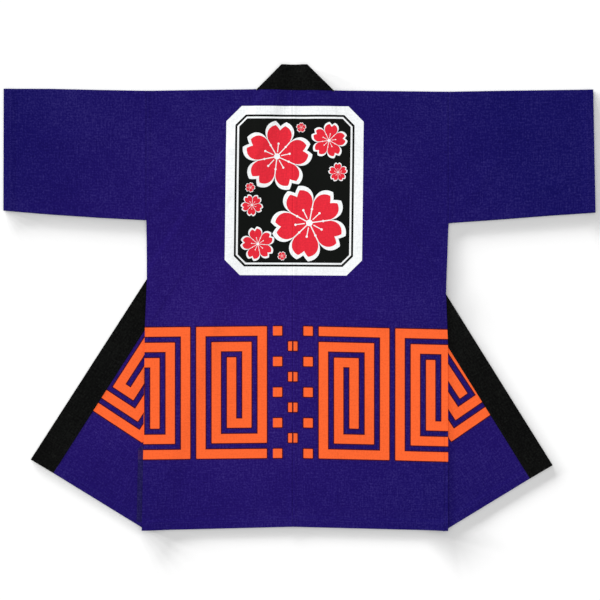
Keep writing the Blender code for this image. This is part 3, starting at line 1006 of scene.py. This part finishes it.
# %% A blossom as a node group: it lays its outline and petals over the colour below
def make_blossom(paper, ink):
    group = bpy.data.node_groups.new("cherry blossom", "ShaderNodeTree")
    inputs = (("Place", "Vector"), ("Middle", "Vector"), ("Radius", "Float"), ("Turn", "Float"))
    for name, kind in inputs + (("Below", "Color"),):
        group.interface.new_socket(name, in_out="INPUT", socket_type="NodeSocket" + kind)
    group.interface.new_socket("Colour", in_out="OUTPUT", socket_type="NodeSocketColor")
    given = add(group, "NodeGroupInput").outputs
    result = add(group, "NodeGroupOutput")
    number = "ShaderNodeMath"

    moved = {0: given["Place"], 1: given["Middle"]}
    moved = add(group, "ShaderNodeVectorMath", moved, operation="SUBTRACT").outputs[0]
    far = add(group, "ShaderNodeVectorMath", {0: moved}, operation="LENGTH").outputs["Value"]
    far = add(group, number, {0: far, 1: given["Radius"]}, operation="DIVIDE").outputs[0]
    axes = add(group, "ShaderNodeSeparateXYZ", {0: moved}).outputs
    angle = add(group, number, {0: axes["Y"], 1: axes["X"]}, operation="ARCTAN2").outputs[0]
    angle = add(group, number, {0: angle, 1: given["Turn"]}, operation="ADD").outputs[0]

    # Each petal is folded on its own axis: 'aside' is the angle from that axis
    angle = add(group, number, {0: angle, 1: 4 * pi}, operation="ADD").outputs[0]
    aside = add(group, number, {0: angle, 1: pi / PETALS}, operation="PINGPONG").outputs[0]
    share = add(group, number, {0: aside, 1: PETALS / pi}, operation="MULTIPLY").outputs[0]

    # The edge: a round lobe from the axis to the cleft, with a notch at its tip
    lobe = add(group, number, {0: share, 1: 2.4}, operation="POWER").outputs[0]
    lobe = add(group, number, {0: 1.0, 1: lobe}, operation="SUBTRACT").outputs[0]
    lobe = add(group, number, {0: lobe, 1: 0.5}, operation="POWER").outputs[0]
    edge = {0: lobe, 1: 1 - CLEFT, 2: CLEFT}
    edge = add(group, number, edge, operation="MULTIPLY_ADD").outputs[0]
    notch = add(group, number, {0: share, 1: NOTCH_WIDTH}, operation="DIVIDE").outputs[0]
    notch = add(group, number, {0: 1.0, 1: notch}, operation="SUBTRACT", use_clamp=True)
    notch = {0: notch.outputs[0], 1: -NOTCH, 2: edge}
    edge = add(group, number, notch, operation="MULTIPLY_ADD").outputs[0]
    inner = add(group, number, {0: edge, 1: OUTLINE}, operation="SUBTRACT").outputs[0]
    in_outline = add(group, number, {0: far, 1: edge}, operation="LESS_THAN").outputs[0]
    in_petal = add(group, number, {0: far, 1: inner}, operation="LESS_THAN").outputs[0]

    # White lines part the petals, from the heart outward
    to_side = add(group, number, {0: pi / PETALS, 1: aside}, operation="SUBTRACT").outputs[0]
    to_side = add(group, number, {0: to_side, 1: far}, operation="MULTIPLY").outputs[0]
    clear = {0: to_side, 1: PETAL_LINE}
    clear = add(group, number, clear, operation="GREATER_THAN").outputs[0]
    heart = add(group, number, {0: far, 1: HEART}, operation="GREATER_THAN").outputs[0]

    # Stamens: thin lines round the heart, each with a dot at its end
    spoke = add(group, number, {0: angle, 1: pi / STAMENS}, operation="PINGPONG").outputs[0]
    spoke = add(group, number, {0: spoke, 1: far}, operation="MULTIPLY").outputs[0]
    thin = {0: spoke, 1: STAMEN_WIDTH}
    thin = add(group, number, thin, operation="LESS_THAN").outputs[0]
    started = {0: far, 1: STAMEN_FROM}
    started = add(group, number, started, operation="GREATER_THAN").outputs[0]
    ended = add(group, number, {0: far, 1: STAMEN_TO}, operation="LESS_THAN").outputs[0]
    thread = add(group, number, {0: thin, 1: started}, operation="MULTIPLY").outputs[0]
    thread = add(group, number, {0: thread, 1: ended}, operation="MULTIPLY").outputs[0]
    past = add(group, number, {0: far, 1: STAMEN_TO}, operation="SUBTRACT").outputs[0]
    dot = add(group, "ShaderNodeCombineXYZ", {"X": past, "Y": spoke}).outputs[0]
    dot = add(group, "ShaderNodeVectorMath", {0: dot}, operation="LENGTH").outputs["Value"]
    dot = add(group, number, {0: dot, 1: ANTHER}, operation="LESS_THAN").outputs[0]
    stamen = add(group, number, {0: thread, 1: dot}, operation="MAXIMUM").outputs[0]
    bare = add(group, number, {0: 1.0, 1: stamen}, operation="SUBTRACT").outputs[0]

    red = add(group, number, {0: in_petal, 1: clear}, operation="MULTIPLY").outputs[0]
    red = add(group, number, {0: red, 1: heart}, operation="MULTIPLY").outputs[0]
    red = add(group, number, {0: red, 1: bare}, operation="MULTIPLY").outputs[0]
    outlined = {0: in_outline, 6: given["Below"], 7: paper}
    outlined = add(group, "ShaderNodeMix", outlined, data_type="RGBA").outputs[2]
    petals = {0: red, 6: outlined, 7: ink}
    petals = add(group, "ShaderNodeMix", petals, data_type="RGBA").outputs[2]
    group.links.new(petals, result.inputs["Colour"])
    return group


PAPER_WHITE = linear("#F6F9FA")
INK_BLACK = linear("#101210")
INK_RED = linear("#E52C3C")
INK_ORANGE = linear("#FB6630")
# The bled ink edges each bar, and at the centre seam it is painted shade of the crevice
INK_BLED_AND_SEAM_SHADE = linear("#3C0C24")
blossom = make_blossom(PAPER_WHITE, INK_RED)

# %% The spray of blossoms: (out, down) from the panel's middle, radius, turn in degrees
SPRAY = [
    ((0.066, -0.097), 0.036, 8),
    ((-0.069, 0.103), 0.034, 31),
    ((-0.081, 0.028), 0.022, 50),
    ((0.084, -0.036), 0.019, 20),
    ((-0.034, -0.066), 0.069, 12),
    ((0.030, 0.062), 0.075, 44),
    ((-0.085, -0.006), 0.010, 0),
    ((0.012, -0.122), 0.010, 15),
    ((-0.022, 0.126), 0.009, 62),
]
print(len(SPRAY), "blossoms, the largest", round(2000 * max(row[1] for row in SPRAY)), "mm across")


# %% [markdown]
# ## The printed cotton
# The band is printed on each half before the halves are sewn together, so its orange stops
# just short of the centre seam. The dark bled ink is left there across the bars, as painted
# shade of the seam's crevice. The panel is printed across the seam when the coat is made
# up. It lies level there, so the slope of the right half is taken back out of it, and the
# attribute 'back' of the body's mesh keeps it off the fronts.

# %% The printed cotton of the body: the indigo ground, the fret, and the panel with its spray
# Within this distance of the centre seam the orange is left out, and the dark bled ink shows as
# painted shade
SEAM_UNPRINTED_PAINTED_SHADE = 0.0014


def printed_cotton(name, lit_violet, shaded_blue, strength):
    """'strength' is how much of the print shows: all of it on the right side, less behind."""
    material, tree, place = new_material(name)
    number = "ShaderNodeMath"
    drawn = add(tree, "ShaderNodeGroup", {}, node_tree=fret)
    tree.links.new(place, drawn.inputs["Place"])
    colour = indigo_dye_with_painted_light(tree, place, lit_violet, shaded_blue)
    out = add(tree, "ShaderNodeSeparateXYZ", {0: place}).outputs["X"]
    from_seam = add(tree, number, {0: out}, operation="ABSOLUTE").outputs[0]
    printed = {0: from_seam, 1: SEAM_UNPRINTED_PAINTED_SHADE}
    printed = add(tree, number, printed, operation="GREATER_THAN").outputs[0]
    printed = add(tree, number, {0: printed, 1: strength}, operation="MULTIPLY").outputs[0]
    # The bled ink also fills the unprinted strip at the centre seam, where it is painted shade
    levels = ((DRAWN_BLEED / 2, INK_BLED_AND_SEAM_SHADE, strength), (DRAWN_BLEED * 1.5, INK_ORANGE, printed))
    for level, ink, share in levels:
        band = {0: drawn.outputs["Drawn"], 1: level}
        band = add(tree, number, band, operation="GREATER_THAN").outputs[0]
        band = add(tree, number, {0: band, 1: share}, operation="MULTIPLY").outputs[0]
        colour = {0: band, 6: colour, 7: ink}
        colour = add(tree, "ShaderNodeMix", colour, data_type="RGBA").outputs[2]

    right_out = add(tree, number, {0: out, 1: 0.0}, operation="MAXIMUM").outputs[0]
    level = add(tree, number, {0: right_out, 1: PANEL_LEVEL}, operation="MULTIPLY").outputs[0]
    level = {0: place, 1: add(tree, "ShaderNodeCombineXYZ", {"Y": level}).outputs[0]}
    level = add(tree, "ShaderNodeVectorMath", level, operation="ADD").outputs[0]
    middle = (PANEL_OUT, PANEL_DOWN, 0)
    on_panel = add(tree, "ShaderNodeVectorMath", {0: level, 1: middle}, operation="SUBTRACT")
    turn = {"Vector": on_panel.outputs[0], "Rotation": (0, 0, -PANEL_TURN)}
    on_panel = add(tree, "ShaderNodeMapping", turn).outputs[0]
    inks = (PAPER_WHITE, INK_BLACK, PAPER_WHITE, INK_BLACK)
    shapes = (LABEL, LINE_OUTER, LINE_INNER, FIELD)
    masks = []
    for shape, ink in zip(shapes, inks):
        eight = add(tree, "ShaderNodeGroup", {}, node_tree=octagon)
        tree.links.new(on_panel, eight.inputs["Place"])
        for socket, value in zip(("Half width", "Half height", "Cut corner"), shape):
            eight.inputs[socket].default_value = value
        masks.append((eight.outputs["Inside"], ink))
    panel = PAPER_WHITE
    for mask, ink in masks[1:]:
        panel = {0: mask, 6: panel, 7: ink}
        panel = add(tree, "ShaderNodeMix", panel, data_type="RGBA").outputs[2]
    for (out, down), radius, turn in SPRAY:
        flower = add(tree, "ShaderNodeGroup", {}, node_tree=blossom)
        tree.links.new(on_panel, flower.inputs["Place"])
        tree.links.new(panel, flower.inputs["Below"])
        flower.inputs["Middle"].default_value = (out, down, 0)
        flower.inputs["Radius"].default_value = radius
        flower.inputs["Turn"].default_value = radians(turn)
        panel = flower.outputs["Colour"]
    back = add(tree, "ShaderNodeAttribute", {}, attribute_name="back").outputs["Fac"]
    here = add(tree, number, {0: masks[0][0], 1: back}, operation="MULTIPLY").outputs[0]
    here = add(tree, number, {0: here, 1: strength}, operation="MULTIPLY").outputs[0]
    colour = {0: here, 6: colour, 7: panel}
    colour = add(tree, "ShaderNodeMix", colour, data_type="RGBA").outputs[2]
    finish_cotton(tree, colour, place)
    return material


right = ("pigment_printed_cotton", LIT_VIOLET_INDIGO, SHADED_BLUE_INDIGO, 1.0)
wrong = ("pigment_printed_cotton_wrong_side", LIT_VIOLET_WRONG, SHADED_BLUE_WRONG, 0.02)
body_cotton = printed_cotton(*right)
body_reverse = printed_cotton(*wrong)
print("printed cotton has", len(body_cotton.node_tree.nodes), "nodes")

# %% [markdown]
# ## The body
# Each half of the body is one length of cloth, from the back hem over the shoulder to the
# front hem, so there is no shoulder seam. The centre back seam joins the halves.


# %% The cut of one half of the body
def body_outline(half):
    row = half.row
    armhole = row["armhole_out"]
    shoulder_neck = half.shoulder.at_out(row["neck_out"] + SNIP_OUT)
    shoulder_arm = half.shoulder.at_out(armhole)
    armpit = Vector((armhole, row["armpit_down"]))
    side = [armpit] + [Vector((out, down)) for down, out in SIDE_SEAM[half.name]]
    front_side = [armpit] + half.front_side()
    front_neck = half.neck + half.front_down * SNIP_LENGTH
    front = [shoulder_neck, front_neck, half.seam_hem] + front_side[::-1] + [shoulder_arm]
    back_top = [
        Vector((0, 0)),
        Vector((row["neck_out"] - SNIP_LENGTH, row["neck_down"])),
        Vector((half.shoulder.from_out, shoulder_neck.y + SNIP_DOWN)),
        Vector((shoulder_neck.x, shoulder_neck.y + SNIP_DOWN)),
    ]
    back_hem = [Vector((0, HEM_DOWN_CENTRE))]
    return back_top + [half.shoulder.flat(point) for point in front] + side + back_hem


# %% Cutting, folding and laying both halves
def make_body(half):
    outline = body_outline(half)
    cloth, mesh = cut_out("cloth_body_" + half.name, outline)
    for edge in (half.row["armhole_out"], 0.0):
        for step in SEAM_STEPS:
            out = abs(edge - step)
            score(mesh, Line((out, 0), (out, 1), (1, 0)), lambda point: True)

    def flat_place(point):
        place = half.shoulder.turned(point)
        return half.sign * place.x, place.y - half.row["print_slope"] * place.x

    back = mesh.verts.layers.float.new("back")
    for vert in mesh.verts:
        vert[back] = 1.0 if half.shoulder.part(vert.co.xy) < 0.5 else 0.0
    fold_and_lay(mesh, half, half.shoulder, CLOTH, flat_place, hemmed=True)
    mesh.to_mesh(cloth.data)
    mesh.free()
    finish_cloth(cloth, CLOTH, [body_cotton, body_reverse])
    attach(cloth, "root")
    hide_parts("body_" + half.name)
    extent_of(outline)
    area_of(outline)
    return cloth


bodies = [make_body(half) for half in halves]

# %% [markdown]
# ## The sleeves
# A happi sleeve is a straight tube: one length of cloth, folded along the top and sewn
# together under the arm. It starts as a flat grid whose columns run along the arm and whose
# rows run round it, and each row is moved to its place on the pressed tube.

# %% Columns along the arm, closer together beside the armhole seam
SLEEVE_ROWS_FLAT = 46
BEND_ROWS = 8
UNDERARM_RISE = 0.0001
UNDERARM_DEPTH = 0.0180
UNDERARM_FADE = 0.0300


def sleeve_columns(length):
    even = ceil((length - SEAM_STEPS[-1]) / CELL)
    run = [SEAM_STEPS[-1] + (length - SEAM_STEPS[-1]) * i / even for i in range(even + 1)]
    return [0.0] + list(SEAM_STEPS[:-1]) + run


# %% The sleeve's length, and the top and bottom edges of one section
def sleeve_length(half):
    return SLEEVE[half.name][-1][0] - SLEEVE[half.name][0][0]


def sleeve_edges(half, share):
    """'share' is how far along the sleeve the section is, from 0 to 1."""
    table = SLEEVE[half.name]
    outs = [row[0] for row in table]
    out = outs[0] + share * (outs[-1] - outs[0])
    for near, far in zip(table, table[1:]):
        if out <= far[0] or far is table[-1]:
            part = (out - near[0]) / (far[0] - near[0])
            row = [a + (b - a) * part for a, b in zip(near, far)]
            return Vector(row[0:2]), Vector(row[2:4])


# %% The ring of one section, from the underarm over the upper layer, round and back
def sleeve_ring(top, bottom, hem, seam):
    """
    Pairs of (flat point, height), from the underarm seam round to it again. 'hem' and 'seam'
    say how much the cuff's hem and the seam's allowances raise the two bends.
    """
    top_radius = SHOULDER_RADIUS + hem
    bottom_radius = SHOULDER_RADIUS + max(hem, seam)
    top_centre = top + Vector((0, top_radius))
    bottom_centre = bottom - Vector((0, bottom_radius))
    ring = []

    def half_round(centre, radius, start, first, last):
        for step in range(first, last + 1):
            angle = start + pi * step / BEND_ROWS
            down = Vector((0, -radius * sin(angle)))
            ring.append((centre + down, radius * (1 + cos(angle))))

    def straight(start, end, upper):
        for step in range(1, SLEEVE_ROWS_FLAT):
            place = start.lerp(end, step / SLEEVE_ROWS_FLAT)
            near_seam = smooth(1 - (place - bottom_centre).length / UNDERARM_DEPTH)
            radius = top_radius + (bottom_radius - top_radius) * near_seam
            ring.append((place, 2 * radius * upper))

    half_round(bottom_centre, bottom_radius, pi, BEND_ROWS // 2, BEND_ROWS)
    straight(bottom_centre, top_centre, upper=1)
    half_round(top_centre, top_radius, 0.0, 0, BEND_ROWS)
    straight(top_centre, bottom_centre, upper=0)
    half_round(bottom_centre, bottom_radius, pi, 0, BEND_ROWS // 2)
    return ring


# %% Making a sleeve from a flat grid
def make_sleeve(half):
    length = sleeve_length(half)
    columns = sleeve_columns(length)
    hems = [hem_rise(length - column) for column in columns]
    rings = []
    for column, hem in zip(columns, hems):
        seam = UNDERARM_RISE * smooth(column / UNDERARM_FADE)
        rings.append(sleeve_ring(*sleeve_edges(half, column / length), hem, seam))
    rows = len(rings[0])
    bpy.ops.object.select_all(action="DESELECT")
    bpy.ops.mesh.primitive_grid_add(
        x_subdivisions=len(columns) - 1, y_subdivisions=rows - 1, size=1
    )
    cloth = bpy.context.object
    cloth.name = "cloth_sleeve_" + half.name
    cloth.data.name = cloth.name
    mesh = bmesh.new()
    mesh.from_mesh(cloth.data)
    flat_map = mesh.loops.layers.uv.active or mesh.loops.layers.uv.new("flat")
    groups = mesh.verts.layers.deform.verify()
    around = 2 * (SLEEVE[half.name][0][3] - SLEEVE[half.name][0][1])
    # A grid's corners are numbered row by row
    place_of = {vert: divmod(vert.index, len(columns)) for vert in mesh.verts}
    for face in mesh.faces:
        for loop in face.loops:
            row, column = place_of[loop.vert]
            out = half.row["armhole_out"] + columns[column]
            loop[flat_map].uv = (half.sign * out, around * (0.5 - row / (rows - 1)))
    for vert, (row, column) in place_of.items():
        flat, height = rings[column][row]
        vert[groups][HEM_GROUP] = hems[column] / HEM_RISE
        vert.co = lifted(half.world(flat, height))
    bmesh.ops.remove_doubles(mesh, verts=mesh.verts[:], dist=MERGE)
    bmesh.ops.recalc_face_normals(mesh, faces=mesh.faces[:])
    mesh.to_mesh(cloth.data)
    mesh.free()
    cloth.data.uv_layers[0].name = "flat"
    finish_cloth(cloth, CLOTH, [sleeve_cotton, sleeve_reverse])
    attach(cloth, "root")
    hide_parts("sleeve_" + half.name)
    return cloth


sleeves = [make_sleeve(half) for half in halves]

# %% [markdown]
# ## The collar
# The collar is one long straight band. It runs round the neck, turns each neck corner in a
# mitred fold, and goes down both fronts to the hem. It is cut as two straight strips that
# meet at the middle of the neck.


# %% The cut of half the band
def collar_outline(half):
    front = [half.free_hem, half.seam_hem, half.neck]
    middle = [(0, 0), (0, -BAND_WIDTH)]
    return middle + [half.mitre.flat(point) for point in front]


# %% Both halves, joined into one band
def make_collar():
    strips = []
    outlines = [collar_outline(half) for half in halves]
    for half, outline in zip(halves, outlines):
        cloth, mesh = cut_out("cloth_collar_" + half.name, outline)

        def flat_place(point):
            return half.sign * point[0], point[1]

        fold_and_lay(mesh, half, half.mitre, BAND, flat_place, hemmed=False)
        mesh.to_mesh(cloth.data)
        mesh.free()
        strips.append(cloth)
    bpy.ops.object.select_all(action="DESELECT")
    for strip in strips:
        strip.select_set(True)
    bpy.context.view_layer.objects.active = strips[0]
    bpy.ops.object.join()
    collar = bpy.context.object
    collar.name = "cloth_collar"
    bpy.ops.object.mode_set(mode="EDIT")
    bpy.ops.mesh.select_all(action="SELECT")
    bpy.ops.mesh.remove_doubles(threshold=MERGE)
    bpy.ops.object.mode_set(mode="OBJECT")
    finish_cloth(collar, BAND, [collar_cotton, collar_reverse])
    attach(collar, "root")
    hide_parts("collar")
    length = sum(extent_of(outline)[0] for outline in outlines)
    width = sum(area_of(outline) for outline in outlines) / length
    return collar


collar = make_collar()

# %% [markdown]
# ## The sewing
# The hems are sewn down with a row of machine stitches in thread of the cloth's own colour,
# and another row holds the collar along its seam. One stitch is modelled, a short rounded
# length of twisted thread. It is copied along each row, and each copy is laid on the cloth
# with rays from above and turned along the row. A row that runs on under another layer stops
# there. The stitches are a little larger than real ones, so that they still show as stitches.

# %% The sewing thread
STITCH_LENGTH = 3.0 * MM
STITCH_WIDTH = 0.7 * MM
STITCH_HEIGHT = 0.5 * MM
STITCH_PITCH = 4.2 * MM
TWIST_SPACING = 0.5 * MM
# How dark the painted shade between the strands gets, and how far it lightens
STRAND_SHADE_DARKEST = 0.75
STRAND_SHADE_RANGE = 0.5
THREAD_SURFACE = {"Roughness": 0.7, "Specular IOR Level": 0.1}


def sewing_thread(name, hex_colour):
    """Twisted thread: painted shade makes darker lines across the yarn between its strands."""
    material = bpy.data.materials.new(name)
    material.use_nodes = True
    tree = material.node_tree
    place = add(tree, "ShaderNodeTexCoord").outputs["Object"]
    # Painted shade: the wave darkens the thread in lines between its strands
    strand_shade = {"Vector": place, "Scale": 1 / TWIST_SPACING, "Distortion": 0.5}
    strand_shade = add(tree, "ShaderNodeTexWave", strand_shade, bands_direction="DIAGONAL").outputs["Fac"]
    value = {0: strand_shade, 1: STRAND_SHADE_RANGE, 2: STRAND_SHADE_DARKEST}
    value = add(tree, "ShaderNodeMath", value, operation="MULTIPLY_ADD").outputs[0]
    colour = {"Color": linear(hex_colour), "Value": value}
    colour = add(tree, "ShaderNodeHueSaturation", colour).outputs["Color"]
    feed(tree.nodes["Principled BSDF"], {"Base Color": colour, **THREAD_SURFACE})
    return material


indigo_thread = sewing_thread("indigo_sewing_thread", "#2E2578")
black_thread = sewing_thread("black_sewing_thread", "#121213")

# %% One stitch
bpy.ops.object.select_all(action="DESELECT")
bpy.ops.mesh.primitive_uv_sphere_add(segments=8, ring_count=6, radius=0.5)
stitch = bpy.context.object
stitch.name = "one_stitch"
stitch.scale = (STITCH_LENGTH, STITCH_WIDTH, STITCH_HEIGHT)
bpy.ops.object.transform_apply(location=True, rotation=True, scale=True)
bpy.ops.object.shade_smooth()
print("one stitch has", len(stitch.data.polygons), "faces")

# %% Where the top of the coat is
RAY_FROM = 0.05
depsgraph = bpy.context.evaluated_depsgraph_get()
surfaces = {piece: BVHTree.FromObject(piece, depsgraph) for piece in bodies + sleeves + [collar]}


def top_of(piece, place):
    """The highest point of the coat at a place, if it belongs to the piece."""
    above = Vector((place.x, place.y, RAY_FROM))
    highest = None
    for owner, surface in surfaces.items():
        hit = surface.ray_cast(above, Vector((0, 0, -1)))[0]
        if hit and (highest is None or hit.z > highest[0].z):
            highest = (hit, owner)
    return highest[0] if highest and highest[1] == piece else None


# %% Sewing rows of stitches, and joining them into one piece
def sew(name, piece, half, rows, thread, slot):
    """Each row runs straight from one (out, down) place to another."""
    mesh = bmesh.new()
    for row in rows:
        start, end = (half.world(Vector(place), 0) for place in row)
        along = (end - start).normalized()
        for i in range(int((end - start).length / STITCH_PITCH)):
            first = top_of(piece, start + along * (i * STITCH_PITCH))
            last = top_of(piece, start + along * (i * STITCH_PITCH + STITCH_LENGTH))
            if first is None or last is None:
                continue
            turn = (last - first).to_track_quat("X", "Z").to_matrix().to_4x4()
            count = len(mesh.verts)
            mesh.from_mesh(stitch.data)
            mesh.verts.ensure_lookup_table()
            laid = Matrix.Translation((first + last) / 2) @ turn
            bmesh.ops.transform(mesh, matrix=laid, verts=mesh.verts[count:])
    data = bpy.data.meshes.new(name)
    mesh.to_mesh(data)
    mesh.free()
    stitches = bpy.data.objects.new(name, data)
    bpy.context.collection.objects.link(stitches)
    data.materials.append(thread)
    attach(stitches, "root")
    print(name, "has", len(data.polygons) // len(stitch.data.polygons), "stitches")
    return stitches


# %% The rows of each piece
STITCH_INSET = 0.0132
COLLAR_INSET = 0.0025
ROW_MARGIN = 0.0040


def body_rows(half):
    back = half.back_hem.moved(-STITCH_INSET)
    back_end = SIDE_SEAM[half.name][-1][1] - ROW_MARGIN
    front = half.front_hem.moved(-STITCH_INSET)
    flap = half.turned_line(front.start, front.start + front.along, inner=(0, 1))
    flap_start = max(point.x for point in half.front_side()) + ROW_MARGIN
    flap_end = half.crease.mirrored(half.seam_hem).x
    back_row = (back.at_out(ROW_MARGIN), back.at_out(back_end))
    return [back_row, (flap.at_out(flap_start), flap.at_out(flap_end))]


def cuff_rows(half):
    top, bottom = sleeve_edges(half, 1 - STITCH_INSET / sleeve_length(half))
    margin = Vector((0, ROW_MARGIN))
    return [(top + margin, bottom - margin)]


def collar_rows(half):
    seam = half.flap_seam.moved(-COLLAR_INSET)
    seam_length = (half.seam_hem - half.neck).length
    down_front = (seam.start, seam.start + seam.along * (seam_length - ROW_MARGIN))
    neck = [(0, -COLLAR_INSET), (half.neck.x - ROW_MARGIN, half.neck.y - COLLAR_INSET)]
    return [down_front, neck]


indigo = (indigo_thread, "indigo_cotton")
black = (black_thread, "black_cotton")
sewing = []
for half, body, sleeve in zip(halves, bodies, sleeves):
    sewing.append(sew("stitches_body_" + half.name, body, half, body_rows(half), *indigo))
    sewing.append(sew("stitches_cuff_" + half.name, sleeve, half, cuff_rows(half), *indigo))
    sewing.append(sew("stitches_collar_" + half.name, collar, half, collar_rows(half), *black))
bpy.data.objects.remove(stitch)

# %% [markdown]
# ## Floor, light and camera
# The floor is plain white paper, in a room of soft light. Cloth this thin throws almost no
# shadow in a light that shows its colour well, so the lamps are parted as flags part them in
# a studio: a high one and a raking one are kept to the coat, and a low fan of five is kept to
# the floor, where it makes one wide, soft shadow. The camera looks straight down through a
# long lens.

# %% Floor
FLOOR_SIZE = 30
bpy.ops.object.select_all(action="DESELECT")
bpy.ops.mesh.primitive_plane_add(size=FLOOR_SIZE, location=(0, 0, -0.2 * MM))
floor = bpy.context.object
floor.name = "floor"
floor_paper = bpy.data.materials.new("matt_white_paper")
floor_paper.use_nodes = True
matt_white = {"Base Color": linear("#F2F2F2"), "Roughness": 0.9, "Specular IOR Level": 0.0}
feed(floor_paper.node_tree.nodes["Principled BSDF"], matt_white)
floor.data.materials.append(floor_paper)

# %% The room, and the lamps: name, azimuth, height and spread in degrees, strength
ROOM_STRENGTH = 0.70
COAT_LAMPS = (("overhead", 130, 58, 20, 0.85), ("raking", 135, 11, 8, 1.5))
FAN = ((106, 4.0), (119, 3.8), (131, 3.6), (145, 3.3), (160, 3.0))
FAN_SPREAD = 5
FAN_ON_FLOOR = 0.30
world = bpy.data.worlds.new("soft room")
bpy.context.scene.world = world
world.use_nodes = True
feed(world.node_tree.nodes["Background"], {"Color": (1, 1, 1, 1), "Strength": ROOM_STRENGTH})


def add_sun(name, azimuth, height, spread, strength, pieces):
    """A distant light from a direction, which shines on some pieces only."""
    bpy.ops.object.light_add(type="SUN")
    sun = bpy.context.object
    sun.name = name
    sun.data.energy = strength
    sun.data.angle = radians(spread)
    turn = radians(azimuth)
    rise = radians(height)
    towards = Vector((cos(turn) * cos(rise), sin(turn) * cos(rise), sin(rise)))
    sun.rotation_euler = towards.to_track_quat("Z", "Y").to_euler()
    lit = bpy.data.collections.new("lit by " + name)
    for piece in pieces:
        lit.objects.link(piece)
    sun.light_linking.receiver_collection = lit


for lamp in COAT_LAMPS:
    add_sun(*lamp, bodies + sleeves + [collar] + sewing)
for azimuth, height in FAN:
    # Each brings the same light to the floor, however low it stands
    strength = FAN_ON_FLOOR / sin(radians(height))
    add_sun(f"low {azimuth}", azimuth, height, FAN_SPREAD, strength, [floor])
print(len(COAT_LAMPS), "lamps on the coat,", len(FAN), "on the floor")

# %% Camera
LENS = 100
SENSOR = 36
PICTURE_WIDTH = 1.1591
CAMERA_X = 0.0011
CAMERA_Y = -0.0047
camera_height = PICTURE_WIDTH * LENS / SENSOR
bpy.ops.object.camera_add(location=(CAMERA_X, CAMERA_Y, camera_height), rotation=(0, 0, 0))
camera = bpy.context.object
camera.data.lens = LENS
camera.data.sensor_width = SENSOR
bpy.context.scene.camera = camera
bpy.context.scene.view_settings.view_transform = "Standard"
print(f"camera {camera_height:.2f} m above the floor")
